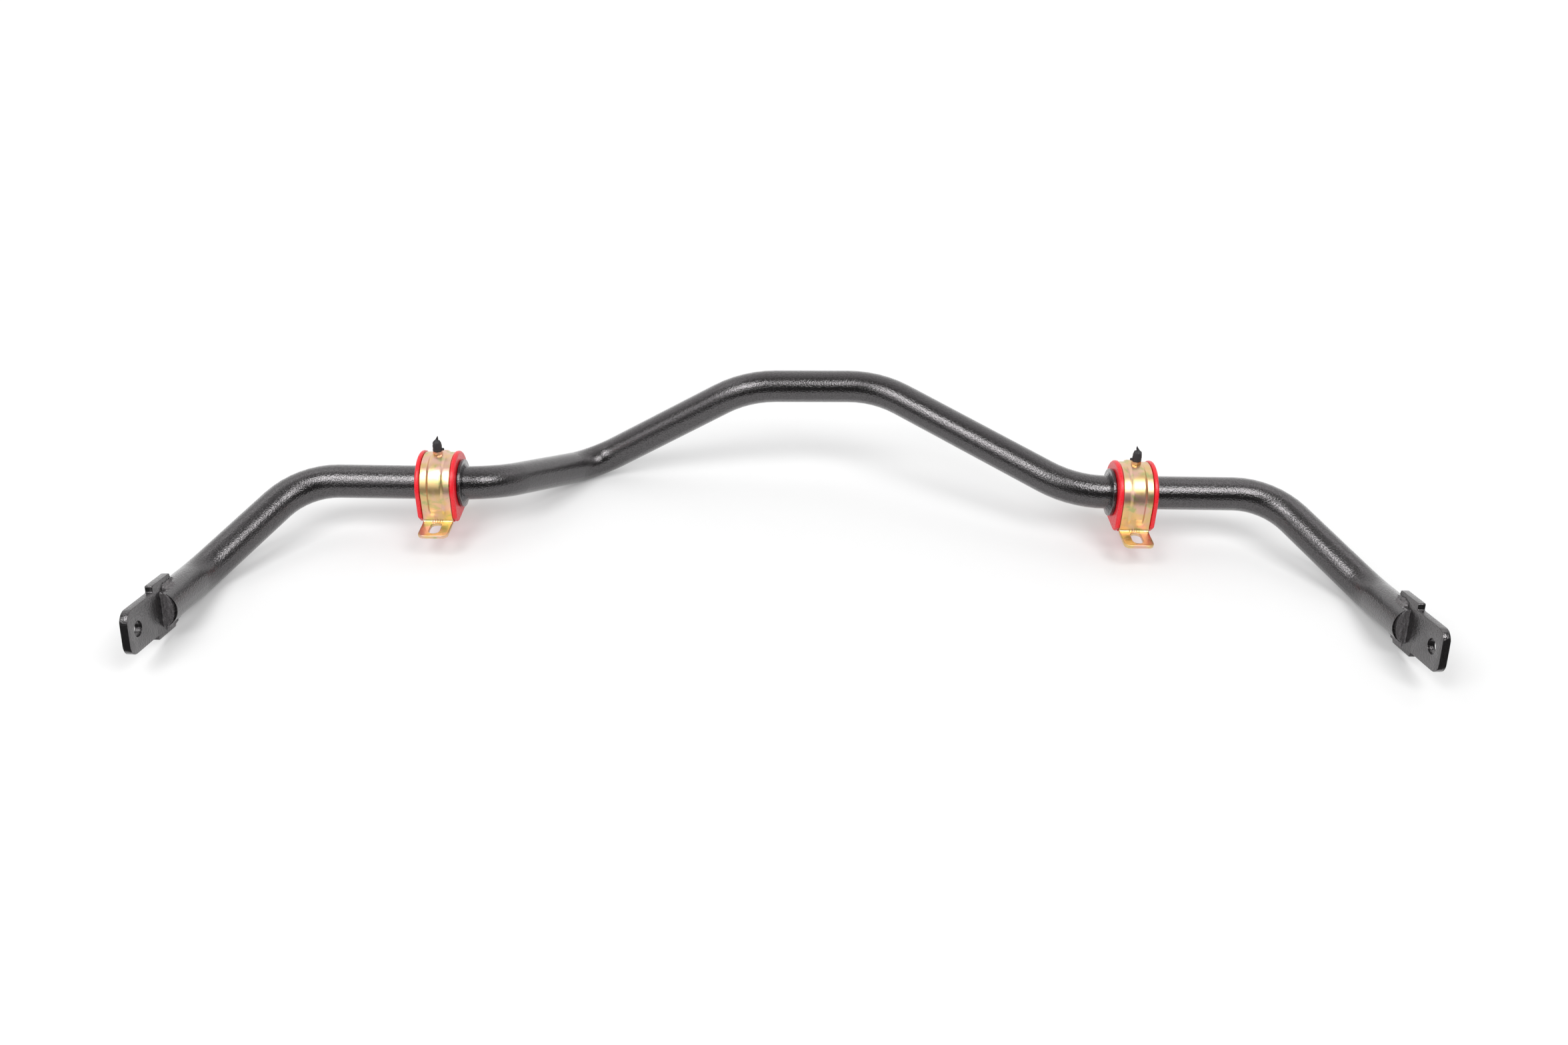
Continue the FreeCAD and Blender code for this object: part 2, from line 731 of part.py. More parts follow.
def make_spring(name, side):
    """Helical spring between the shank's crimp and the check ball."""
    label = "nipple_spring_" + name
    coil = doc.addObject("Part::Helix", label + "_line")
    bind(coil, {
        "Radius": "dims.coil_radius",
        "Pitch": "dims.coil_pitch",
        "Height": "dims.shank_down - dims.crimp_tall + dims.ball_up - dims.ball_radius"
                  " - 2 * dims.coil_wire - 0.1",
    })
    wire = doc.addObject("Part::Circle", label + "_wire")
    wire.setExpression("Radius", "dims.coil_wire")
    start = V(value("dims.coil_radius"), 0, 0)
    wire.Placement = FreeCAD.Placement(start, FreeCAD.Rotation(Z_AXIS, V(0, 1, 0)))
    spring = doc.addObject("Part::Sweep", label)
    doc.recompute()
    spring.Sections = [wire]
    spring.Spine = (coil, ["Edge%d" % (i + 1) for i in range(len(coil.Shape.Edges))])
    spring.Solid = True
    spring.Frenet = True
    place(spring, x="%d * dims.bush_x" % side,
          z=NIPPLE_SEAT + " - dims.shank_down + dims.crimp_tall + dims.coil_wire + 0.05")
    publish(spring, label)


def make_dust_cap(name, side):
    """Rubber cap with a pull nib on top and a tab at its rim."""
    body = add_body("dust_cap_" + name, x="%d * dims.bush_x" % side, z=NIPPLE_SEAT)
    profile = add_sketch(body, "XZ_Plane")
    draw_outline(profile, (
        ("dims.cap_inside", "dims.cap_low"),
        ("dims.cap_wall_radius", "dims.cap_low"),
        ("dims.cap_wall_radius", "dims.cap_shoulder - 2"),
        ("dims.cap_inside", "dims.cap_shoulder"),
        ("dims.nib_radius", "dims.nib_low"),
        ("dims.nib_tip", "dims.cap_top"),
        ("0", "dims.cap_top"),
        ("0", "dims.cap_roof"),
        ("dims.cap_inside", "dims.cap_roof"),
    ))
    revolve(body, "Revolution", profile, "V_Axis")
    tab = add_sketch(body, "XY_Plane", "dims.cap_low")
    draw_outline(tab, (
        ("%d * (dims.cap_inside + 0.3)" % -side, "-dims.tab_wide / 2"),
        ("%d * dims.tab_reach" % -side, "-dims.tab_wide / 2"),
        ("%d * dims.tab_reach" % -side, "dims.tab_wide / 2"),
        ("%d * (dims.cap_inside + 0.3)" % -side, "dims.tab_wide / 2"),
    ))
    pad(body, tab, "dims.tab_tall", "One side")


# ---------------------------------------------------------------- the whole assembly


def make_everything():
    tube = make_tube()
    for name, side in SIDES:
        plate = make_plate(name, side)
        make_plate_welds(name, side, tube, plate)
        make_ring(name, side, tube)
        make_ring_weld(name, side, tube)
        make_bush(name, side)
        make_bracket(name, side)
        make_nipple(name, side)
        make_check_ball(name, side)
        make_spring(name, side)
        make_dust_cap(name, side)
    doc.recompute()


def check_document():
    """Stop unless every object recomputed, every piece is sound and every cut removed metal."""
    for item in doc.Objects:
        if "Invalid" in item.State or "Error" in item.State:
            raise RuntimeError("%s failed: %s" % (item.Label, item.State))
    for piece in pieces:
        if piece.Shape.isNull() or not piece.Shape.isValid():
            raise RuntimeError("%s has no valid shape" % piece.Label)
    for feature in cuts:
        before = feature.Base if feature.isDerivedFrom("Part::Cut") else feature.BaseFeature
        if feature.Shape.Volume > before.Shape.Volume - 0.01:
            raise RuntimeError("%s cuts nothing" % feature.Label)


def export_pieces():
    os.makedirs("parts", exist_ok=True)
    for piece in pieces:
        piece.Shape.exportStep("parts/%s.step" % piece.Label)


def print_summary():
    box = FreeCAD.BoundBox()
    for piece in pieces:
        box.add(piece.Shape.BoundBox)
        print("%-22s volume %10.1f mm3, solids %d"
              % (piece.Label, piece.Shape.Volume, len(piece.Shape.Solids)))
    print("box x %.3f..%.3f y %.3f..%.3f z %.3f..%.3f"
          % (box.XMin, box.XMax, box.YMin, box.YMax, box.ZMin, box.ZMax))
    print("centreline %.1f mm" % doc.getObject("bar_centreline").Shape.Length)


make_everything()
check_document()
export_pieces()
print_summary()
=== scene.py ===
import json
import math

import bmesh
import bpy
from mathutils import Matrix, Vector, noise


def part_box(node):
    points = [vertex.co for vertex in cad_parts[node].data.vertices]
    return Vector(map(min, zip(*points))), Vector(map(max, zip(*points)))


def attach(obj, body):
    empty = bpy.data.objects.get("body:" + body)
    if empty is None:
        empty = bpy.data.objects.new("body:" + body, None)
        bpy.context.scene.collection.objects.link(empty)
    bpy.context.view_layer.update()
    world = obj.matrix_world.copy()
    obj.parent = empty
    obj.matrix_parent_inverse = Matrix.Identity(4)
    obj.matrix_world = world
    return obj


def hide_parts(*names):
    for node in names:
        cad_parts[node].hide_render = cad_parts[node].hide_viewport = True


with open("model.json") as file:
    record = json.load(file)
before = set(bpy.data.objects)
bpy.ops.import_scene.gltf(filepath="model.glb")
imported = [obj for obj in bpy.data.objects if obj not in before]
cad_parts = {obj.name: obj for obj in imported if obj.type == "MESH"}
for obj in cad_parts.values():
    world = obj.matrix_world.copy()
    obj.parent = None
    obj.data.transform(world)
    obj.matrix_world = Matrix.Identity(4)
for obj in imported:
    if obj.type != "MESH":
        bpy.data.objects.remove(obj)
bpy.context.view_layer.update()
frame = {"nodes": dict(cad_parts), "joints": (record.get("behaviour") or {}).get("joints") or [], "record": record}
SCENE = bpy.context.scene
SCENE.view_settings.view_transform = "Standard"
MM = 0.001


# ---------------------------------------------------------------- nodes for materials
class Shader:
    """A node tree with short calls for the nodes that are used here."""

    def __init__(self, name, tree=None):
        if tree is None:
            self.material = bpy.data.materials.new(name)
            self.material.use_nodes = True
            tree = self.material.node_tree
        self.nodes = tree.nodes
        self.links = tree.links
        self.surface = self.nodes.get("Principled BSDF")

    def new(self, kind, **values):
        node = self.nodes.new(kind)
        for key, value in values.items():
            setattr(node, key, value)
        return node

    def link(self, source, socket):
        """Sets the socket to a number or colour, or links another node's output to it."""
        if isinstance(source, (int, float, tuple)):
            socket.default_value = source
        else:
            self.links.new(source, socket)

    def set(self, **values):
        for key, value in values.items():
            self.link(value, self.surface.inputs[key.replace("_", " ")])

    def place(self, scale=(1, 1, 1)):
        coords = self.new("ShaderNodeTexCoord")
        mapping = self.new("ShaderNodeMapping")
        mapping.inputs["Scale"].default_value = scale
        self.links.new(coords.outputs["Object"], mapping.inputs["Vector"])
        return mapping.outputs["Vector"]

    def noise(self, vector, scale, detail=2.0, roughness=0.5, distortion=0.0):
        node = self.new("ShaderNodeTexNoise")
        self.link(vector, node.inputs["Vector"])
        self.link(scale, node.inputs["Scale"])
        self.link(detail, node.inputs["Detail"])
        self.link(roughness, node.inputs["Roughness"])
        self.link(distortion, node.inputs["Distortion"])
        return node.outputs["Fac"]

    def cells(self, vector, scale, smooth):
        node = self.new("ShaderNodeTexVoronoi", feature="SMOOTH_F1")
        self.link(vector, node.inputs["Vector"])
        self.link(scale, node.inputs["Scale"])
        self.link(smooth, node.inputs["Smoothness"])
        return node.outputs["Distance"]

    def math(self, operation, a, b=0.0, clamp=False):
        node = self.new("ShaderNodeMath", operation=operation, use_clamp=clamp)
        self.link(a, node.inputs[0])
        self.link(b, node.inputs[1])
        return node.outputs[0]

    def remap(self, value, low, high, to_low=0.0, to_high=1.0):
        node = self.new("ShaderNodeMapRange", interpolation_type="SMOOTHSTEP")
        for socket, v in enumerate((value, low, high, to_low, to_high)):
            self.link(v, node.inputs[socket])
        return node.outputs[0]

    def mix(self, amount, a, b):
        node = self.new("ShaderNodeMix", data_type="RGBA")
        factor, colour_a, colour_b, result = 0, 6, 7, 2
        self.link(amount, node.inputs[factor])
        self.link(a, node.inputs[colour_a])
        self.link(b, node.inputs[colour_b])
        return node.outputs[result]

    def bump(self, height, distance, strength=1.0, normal=None):
        node = self.new("ShaderNodeBump")
        self.link(height, node.inputs["Height"])
        self.link(distance, node.inputs["Distance"])
        self.link(strength, node.inputs["Strength"])
        if normal is not None:
            self.link(normal, node.inputs["Normal"])
        return node.outputs["Normal"]


def hammertone(name, cell_scale, roughness, dark=0.050, pale=0.085, metallic=0.9):
    """Paint with worm-like ridges: warped cells about 1 / cell_scale metres wide, under a fine grain."""
    s = Shader(name)
    at = s.place()
    drift = s.new("ShaderNodeTexNoise")
    s.link(at, drift.inputs["Vector"])
    s.link(0.9 * cell_scale, drift.inputs["Scale"])
    warp = s.new("ShaderNodeVectorMath", operation="MULTIPLY_ADD")
    s.link(drift.outputs["Color"], warp.inputs[0])
    s.link((0.9 / cell_scale,) * 3, warp.inputs[1])
    s.link(at, warp.inputs[2])
    cells = s.cells(warp.outputs[0], cell_scale, 0.7)
    grain = s.noise(at, 3.2 * cell_scale, 2.0, 0.6)
    height = s.math("ADD", cells, s.math("MULTIPLY", grain, 0.45))
    normal = s.bump(height, 0.135 / cell_scale)
    valley = (1.02 * dark, 0.98 * dark, dark, 1)
    ridge = (1.03 * pale, 0.97 * pale, pale, 1)
    s.set(
        Base_Color=s.mix(s.remap(cells, 0.15, 0.6), valley, ridge),
        Metallic=metallic,
        Roughness=roughness,
        Coat_Weight=0.55,
        Coat_Roughness=0.07,
        Normal=normal,
        Coat_Normal=normal,
    )
    return s.material


def red_polyurethane():
    s = Shader("red_polyurethane")
    at = s.place()
    cloud = s.noise(at, 60.0, 3.0)
    grain = s.noise(at, 900.0, 3.0)
    s.set(
        Base_Color=s.mix(cloud, (0.66, 0.008, 0.018, 1), (0.74, 0.014, 0.026, 1)),
        Roughness=s.remap(grain, 0.3, 0.7, 0.26, 0.36),
        Subsurface_Weight=0.06,
        Subsurface_Scale=0.004,
        Subsurface_Radius=(1.0, 0.25, 0.2),
        Normal=s.bump(cloud, 0.0004, 0.25, s.bump(grain, 0.00008, 0.3)),
    )
    return s.material


def yellow_zinc():
    """Chromate over zinc: gold with rose and green areas, and a fine grain along the rolled sheet."""
    gold, rose, green = (0.74, 0.53, 0.25, 1), (0.76, 0.49, 0.39, 1), (0.50, 0.50, 0.22, 1)
    s = Shader("yellow_zinc")
    hue = s.noise(s.place(), 55.0, 2.0, 0.55, 0.6)
    tint = s.noise(s.place((1.0, 1.0, 1.6)), 95.0, 2.0, 0.5, 0.4)
    warm = s.mix(s.remap(hue, 0.40, 0.62), gold, rose)
    grain = s.noise(s.place((1.0, 0.15, 0.15)), 1500.0, 3.0, 0.6)
    s.set(
        Base_Color=s.mix(s.remap(tint, 0.52, 0.70), warm, green),
        Metallic=1.0,
        Roughness=s.remap(grain, 0.25, 0.75, 0.30, 0.42),
        Normal=s.bump(grain, 0.00005, 0.5),
    )
    return s.material


def black_rubber():
    s = Shader("black_rubber")
    grain = s.noise(s.place(), 1600.0, 4.0, 0.6)
    s.set(
        Base_Color=s.mix(grain, (0.012, 0.010, 0.012, 1), (0.028, 0.025, 0.028, 1)),
        Roughness=0.52,
        Normal=s.bump(grain, 0.0002, 0.7),
    )
    return s.material


def bright_steel():
    s = Shader("bright_steel")
    grain = s.noise(s.place((1.0, 1.0, 0.2)), 2500.0, 3.0)
    s.set(
        Base_Color=s.mix(grain, (0.56, 0.56, 0.57, 1), (0.68, 0.68, 0.67, 1)),
        Metallic=1.0,
        Roughness=0.24,
        Normal=s.bump(grain, 0.00003, 0.4),
    )
    return s.material


MATERIALS = {
    "hammertone_black": hammertone("hammertone_black", 760.0, 0.12),
    "red_polyurethane": red_polyurethane(),
    "yellow_zinc": yellow_zinc(),
    "black_rubber": black_rubber(),
    "bright_steel": bright_steel(),
}
# Painted light: the welds wear the bar's own paint, but this copy is paler and less metallic so that their
# down-turned faces look lit
PAINTED_LIGHT_WELD_PAINT = hammertone("weld_paint", 1300.0, 0.42, dark=0.085, pale=0.155, metallic=0.5)
for node in frame["nodes"].values():
    slots = node.data.materials
    for i, material in enumerate(slots):
        slots[i] = MATERIALS[material.name.split(".")[0]]


# ---------------------------------------------------------------- mesh helpers
def lump(point, size, seed=0.0):
    """Smooth noise between -1 and 1 whose bumps are about `size` wide, in the point's own units."""
    return noise.noise(Vector(point) / size + Vector((seed, 1.7 * seed, -seed)))


def smooth(x, low, high):
    t = max(0.0, min(1.0, (x - low) / (high - low)))
    return t * t * (3 - 2 * t)


def hill(x, middle, width, power=2):
    """A bump of height 1 at the middle that falls to about a third one width away."""
    return math.exp(-(((x - middle) / width) ** power))


def corner_drop(radius, past):
    """How far a rounded corner falls at a distance past the place where its arc starts."""
    return radius - math.sqrt(max(0.0, radius**2 - past**2))


def skin(rows, wrap_rows=False, cap=False):
    """Quads between successive closed rows of points; cap closes the first and last row."""
    count = len(rows[0])
    verts = [p for row in rows for p in row]
    faces = []
    for i in range(len(rows) - (0 if wrap_rows else 1)):
        a, b = i * count, (i + 1) % len(rows) * count
        for j in range(count):
            k = (j + 1) % count
            faces.append((a + j, a + k, b + k, b + j))
    if cap:
        faces.append(tuple(reversed(range(count))))
        faces.append(tuple(range(len(verts) - count, len(verts))))
    return verts, faces


def merge(*shapes):
    verts, faces = [], []
    for part_verts, part_faces in shapes:
        shift = len(verts)
        verts += part_verts
        faces += [tuple(i + shift for i in face) for face in part_faces]
    return verts, faces


def finish_shading(mesh, sharp_deg):
    mesh.shade_smooth()
    mesh.set_sharp_from_angle(angle=math.radians(sharp_deg))


def make_mesh(name, shape, slot, sharp_deg=40, doubles=1e-7):
    """A linked object from points and faces, its double points merged and its faces turned outwards."""
    mesh = bpy.data.meshes.new(name)
    mesh.from_pydata([tuple(v) for v in shape[0]], [], shape[1])
    bm = bmesh.new()
    bm.from_mesh(mesh)
    bmesh.ops.remove_doubles(bm, verts=bm.verts, dist=doubles)
    bmesh.ops.recalc_face_normals(bm, faces=bm.faces)
    bm.to_mesh(mesh)
    bm.free()
    mesh.materials.append(MATERIALS[slot])
    finish_shading(mesh, sharp_deg)
    obj = bpy.data.objects.new(name, mesh)
    SCENE.collection.objects.link(obj)
    return obj


def carve(obj, cutters, sharp_deg):
    """Cuts the cutters' shapes out of obj, keeps the result as its mesh and removes the cutters."""
    for cutter in cutters:
        tool = obj.modifiers.new("cut", "BOOLEAN")
        tool.operation = "DIFFERENCE"
        tool.solver = "EXACT"
        tool.object = cutter
    bpy.context.view_layer.update()
    evaluated = obj.evaluated_get(bpy.context.evaluated_depsgraph_get())
    mesh = bpy.data.meshes.new_from_object(evaluated)
    obj.modifiers.clear()
    old = obj.data
    obj.data = mesh
    bpy.data.meshes.remove(old)
    finish_shading(mesh, sharp_deg)
    for cutter in cutters:
        bpy.data.objects.remove(cutter)


def piece(name, shape, slot, body, node, sharp_deg, cutters=()):
    """A visible piece that stands for one CAD node and rides on its body."""
    obj = make_mesh(name, shape, slot, sharp_deg)
    if cutters:
        carve(obj, cutters, sharp_deg)
    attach(obj, body)
    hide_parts(node)
    return obj


def bush_middle(name):
    """The middle of a bush's bore, which is where its bar turns."""
    joint = next(j for j in frame["joints"] if j["name"] == "bush_%s_turn" % name)
    return Vector(joint["pos_m"])


# ---------------------------------------------------------------- brackets
# Heights and reaches are from the bore's axis; the middle is halfway through the sheet.
SHEET = 3.2 * MM
STRAP_MIDDLE = 27.7 * MM
HALF_WIDE = 14.0 * MM
FOOT_MIDDLE = -27.4 * MM
FOOT_REACH = 55.5 * MM
FOOT_BEND = 3.6 * MM
FOOT_CORNER = 6.0 * MM
SHEET_EASE = 0.7 * MM
FOOT_RUN = FOOT_REACH - STRAP_MIDDLE - FOOT_BEND
# Rows from a foot's tip inwards, in mm, close together where its corners are round.
TIP_STEPS = (0.0, 0.12, 0.3, 0.6, 1.0, 1.6, 2.3, 3.1, 4.0, 5.0, 6.0)

# The raised band: its flanks lie between two half widths, and it grows between two heights.
BAND_RISE = 1.8 * MM
BAND_TOP, BAND_FOOT = 5.0 * MM, 8.2 * MM
BAND_START, BAND_FULL = -20 * MM, -11 * MM
BAND_SWELL, SWELL_AT, SWELL_LONG = 0.21, -13 * MM, 3.5 * MM
# Stiffening ribs side by side over the foot's bend, out to a half width.
RIB_TALL, RIB_PITCH, RIB_LONG = 0.8 * MM, 2.3 * MM, 3.0 * MM
RIBS_FULL, RIBS_END = 4.0 * MM, 5.0 * MM

SLOT_MIDDLE = 41.275 * MM
SLOT_HALF_RUN = 4.5 * MM
# Height over the foot's top and radius there, in mm: the slot is wider at each face.
SLOT_LEVELS = (
    (-4.0, 5.3), (-3.2, 5.3), (-2.85, 5.0), (-0.35, 5.0), (0.0, 5.35), (0.02, 5.0), (2.0, 5.0),
)
# The hole for the nipple's thread through the top of the strap.
TAP_RADIUS = 3.15 * MM
TAP_FROM, TAP_TO = 20 * MM, 40 * MM


def strap_path():
    """Rows from foot tip to foot tip, in Y and Z: point, outward normal, distance from the nearer tip."""
    half = []
    distances = [step * MM for step in TIP_STEPS]
    distances += [FOOT_CORNER + (FOOT_RUN - FOOT_CORNER) * i / 16 for i in range(1, 17)]
    for distance in distances:
        half.append(((distance - FOOT_REACH, FOOT_MIDDLE), (0.0, 1.0), distance))
    hub = (-STRAP_MIDDLE - FOOT_BEND, FOOT_MIDDLE + FOOT_BEND)
    for i in range(1, 13):
        a = math.pi / 2 * i / 12
        at = (hub[0] + FOOT_BEND * math.sin(a), hub[1] - FOOT_BEND * math.cos(a))
        half.append((at, (-math.sin(a), math.cos(a)), FOOT_RUN + FOOT_BEND * a))
    wall_from = FOOT_RUN + FOOT_BEND * math.pi / 2
    rise = -FOOT_MIDDLE - FOOT_BEND
    for i in range(1, 25):
        at = (-STRAP_MIDDLE, FOOT_MIDDLE + FOOT_BEND + rise * i / 24)
        half.append((at, (-1.0, 0.0), wall_from + rise * i / 24))
    for i in range(1, 31):
        a = math.pi / 2 * i / 30
        at = (-STRAP_MIDDLE * math.cos(a), STRAP_MIDDLE * math.sin(a))
        half.append((at, (-math.cos(a), math.sin(a)), wall_from + rise + STRAP_MIDDLE * a))
    return half + [((-y, z), (-ny, nz), distance) for (y, z), (ny, nz), distance in reversed(half[:-1])]


def strap_section(distance, height):
    """Loop round the sheet: place across the strap and offset from its middle surface."""
    half_wide = HALF_WIDE - corner_drop(FOOT_CORNER, max(0.0, FOOT_CORNER - distance))
    half_sheet = SHEET / 2 - corner_drop(SHEET_EASE, max(0.0, SHEET_EASE - distance))
    band = smooth(height, BAND_START, BAND_FULL)
    band *= 1 + BAND_SWELL * hill(height, SWELL_AT, SWELL_LONG)
    ribs_here = hill(distance, FOOT_RUN + FOOT_BEND * math.pi / 4, RIB_LONG, 4)
    top, bottom = [], []
    steps = 88
    for i in range(steps + 1):
        x = (-1.0 + 2.0 * i / steps) * half_wide
        eased = corner_drop(SHEET_EASE, max(0.0, abs(x) - (half_wide - SHEET_EASE)))
        rise = min(BAND_RISE, BAND_RISE * band * (1 - smooth(abs(x), BAND_TOP, BAND_FOOT)))
        rib = RIB_TALL * ribs_here * max(0.0, math.cos(x / RIB_PITCH * math.tau)) ** 2
        rib *= 1 - smooth(abs(x), RIBS_FULL, RIBS_END)
        top.append((x, half_sheet - eased + rise + rib))
        bottom.append((x, -half_sheet + eased + rise))
    return top + bottom[::-1]


def prism(name, outlines):
    """A cutter from closed loops of points, one above another."""
    return make_mesh(name, skin(outlines, cap=True), "yellow_zinc")


def stadium(cx, cy, z, half_run, radius, steps=14):
    loop = []
    for side, start in ((1, 0.0), (-1, math.pi)):
        for i in range(steps + 1):
            a = start + math.pi * i / steps
            loop.append(Vector((cx + radius * math.cos(a), cy + side * half_run + radius * math.sin(a), z)))
    return loop


def make_bracket(name):
    at = bush_middle(name)
    rows = []
    for (y, z), (ny, nz), distance in strap_path():
        rows.append([at + Vector((x, y + ny * n, z + nz * n)) for x, n in strap_section(distance, z)])
    foot_top = at.z + FOOT_MIDDLE + SHEET / 2
    cutters = []
    for side in (-1, 1):
        slot_y = at.y + side * SLOT_MIDDLE
        cutters.append(prism("slot_cutter", [
            stadium(at.x, slot_y, foot_top + up * MM, SLOT_HALF_RUN, radius * MM)
            for up, radius in SLOT_LEVELS
        ]))
    turns = [math.tau * i / 32 for i in range(32)]
    cutters.append(prism("tap_cutter", [
        [at + Vector((TAP_RADIUS * math.cos(a), TAP_RADIUS * math.sin(a), up)) for a in turns]
        for up in (TAP_FROM, TAP_TO)
    ]))
    shape = skin(rows, cap=True)
    body, node = "bush_set_" + name, "bracket_" + name
    piece("strap_" + name, shape, "yellow_zinc", body, node, sharp_deg=50, cutters=cutters)


# ---------------------------------------------------------------- bushes
# Radii are from the bore's axis, places along the bore from its middle, and angles from +Y towards +Z.
BORE = 16.03 * MM
FLANGE_RADIUS = 30.5 * MM
FLANGE_CHAMFER = 7.0 * MM
FLANGE_FILLET = 4.0 * MM
FLANGE_EASE = 2.2 * MM
SEAT_RADIUS = 26.0 * MM
SEAT_CHAMFER = 1.5 * MM
SEAT_FILLET = 1.0 * MM
SEAT_EASE = 1.0 * MM
BUSH_DROP = 28.8 * MM
BUSH_HALF = 18.5 * MM
SEAT_HALF = 14.3 * MM
SLIT_TURN = math.radians(9.0)
SLIT_HALF = 0.25 * MM
LIP_EASE = 0.15 * MM
FLUTE_DEEP = 1.3 * MM
# Half the angle of a flute at its floor and at its lip, in degrees.
FLUTE_FLOOR, FLUTE_LIP = 4.2, 5.2
RING_DEEP = 1.4 * MM
# Half the width of the ring groove at its floor and at its lip, in mm.
RING_FLOOR, RING_LIP = 1.5, 1.7
# Places along the bore, in mm, close together at the ring groove's walls.
BORE_STEPS = (17.0, 12.0, 7.0, 2.4, 1.7, 1.5, 0.0, -1.5, -1.7, -2.4, -7.0, -12.0, -17.0)


def rounded_d(radius, drop, chamfer, fillet):
    """Dense closed outline of a disc with a block under it, its lower corners chamfered and eased."""
    corners = [(-radius, 0.0), (-radius, chamfer - drop), (chamfer - radius, -drop),
               (radius - chamfer, -drop), (radius, chamfer - drop), (radius, 0.0)]
    loop = []
    for before, here, after in zip(corners, corners[1:], corners[2:]):
        p, b, a = Vector(here), Vector(before), Vector(after)
        back, ahead = (b - p).normalized(), (a - p).normalized()
        half = back.angle(ahead) / 2
        trim = min(fillet / math.tan(half), 0.45 * min((b - p).length, (a - p).length))
        for i in range(9):
            t = i / 8
            loop.append(p + back * trim * (1 - t) ** 2 + ahead * trim * t**2)
    for i in range(97):
        a = math.pi * i / 96
        loop.append(Vector((radius * math.cos(a), radius * math.sin(a))))
    return loop


def reach(loop, angle):
    """Distance from the middle to the outline in one direction."""
    way = Vector((math.cos(angle), math.sin(angle)))
    slack = 1e-6
    best = 0.0
    for p, q in zip(loop, loop[1:] + loop[:1]):
        edge = q - p
        bottom = way.x * edge.y - way.y * edge.x
        if abs(bottom) < 1e-12:
            continue
        t = (p.x * edge.y - p.y * edge.x) / bottom
        s = (p.x * way.y - p.y * way.x) / bottom
        if t > 0 and -slack <= s <= 1 + slack:
            best = max(best, t)
    return best


def bush_angles():
    """Even steps from one wall of the slit to the other, and close ones at the outlines' corners."""
    angles = {round(SLIT_TURN + math.tau * i / 240, 6) for i in range(1, 240)}
    corners = (
        (FLANGE_RADIUS, BUSH_DROP - FLANGE_CHAMFER),
        (FLANGE_RADIUS - FLANGE_CHAMFER, BUSH_DROP),
        (SEAT_RADIUS, BUSH_DROP),
    )
    for across, down in corners:
        corner = round(math.degrees(math.atan2(down, across)), 1)
        for below in (-corner, corner - 180):
            for ease in (-1.6, -0.8, 0.0, 0.8, 1.6):
                turn = (math.radians(below + ease) - SLIT_TURN) % math.tau
                angles.add(round(SLIT_TURN + turn, 6))
    return [SLIT_TURN] + sorted(angles) + [SLIT_TURN + math.tau]


def bush_half_profile(flange, seat):
    """From the bore's lip over the flange to the strap's seat, for the end at positive X: (x, radius)."""
    points = [(BUSH_HALF, BORE + 0.5 * MM), (BUSH_HALF, BORE + 1.2 * MM)]
    for k in range(1, 6):
        points.append((BUSH_HALF, BORE + (flange - FLANGE_EASE - BORE) * k / 6))
    hub_x, hub_r = BUSH_HALF - FLANGE_EASE, flange - FLANGE_EASE
    for k in range(9):
        a = math.pi / 2 * k / 8
        points.append((hub_x + FLANGE_EASE * math.cos(a), hub_r + FLANGE_EASE * math.sin(a)))
    points.append((SEAT_HALF + 1.4 * SEAT_EASE, flange))
    points.append((SEAT_HALF + 0.35 * SEAT_EASE, flange - 0.25 * SEAT_EASE))
    points.append((SEAT_HALF, flange - SEAT_EASE))
    points.append((SEAT_HALF, seat + 0.3 * (flange - seat)))
    points.append((SEAT_HALF, seat))
    return points


def bush_rows():
    """The angle and the closed profile loop of each row round the bush."""
    flange_outline = rounded_d(FLANGE_RADIUS, BUSH_DROP, FLANGE_CHAMFER, FLANGE_FILLET)
    seat_outline = rounded_d(SEAT_RADIUS, BUSH_DROP, SEAT_CHAMFER, SEAT_FILLET)
    lip = BUSH_HALF - LIP_EASE
    rows = []
    for angle in bush_angles():
        half = bush_half_profile(reach(flange_outline, angle), reach(seat_outline, angle))
        outside = [(-x, r) for x, r in half] + half[::-1]
        turn = math.degrees(angle)
        from_flute = min(abs((turn - 30 - 60 * k + 180) % 360 - 180) for k in range(6))
        flute = FLUTE_DEEP * (1 - smooth(from_flute, FLUTE_FLOOR, FLUTE_LIP))
        bore = [(lip, BORE + flute)]
        for x in BORE_STEPS:
            ring = RING_DEEP * (1 - smooth(abs(x), RING_FLOOR, RING_LIP))
            bore.append((x * MM, BORE + max(flute, ring)))
        bore.append((-lip, BORE + flute))
        rows.append((angle, outside + bore))
    return rows


def make_bushing(name):
    at = bush_middle(name)
    across_slit = Vector((0, -math.sin(SLIT_TURN), math.cos(SLIT_TURN)))
    rows = bush_rows()
    loops = []
    for i, (angle, profile) in enumerate(rows):
        wall = at.copy()
        if i == 0:
            wall += across_slit * SLIT_HALF
        if i == len(rows) - 1:
            wall -= across_slit * SLIT_HALF
        way = Vector((0, math.cos(angle), math.sin(angle)))
        loops.append([wall + Vector((x, 0, 0)) + way * r for x, r in profile])
    shape = skin(loops, cap=True)
    body, node = "bush_set_" + name, "bushing_" + name
    piece("bush_" + name, shape, "red_polyurethane", body, node, sharp_deg=50)


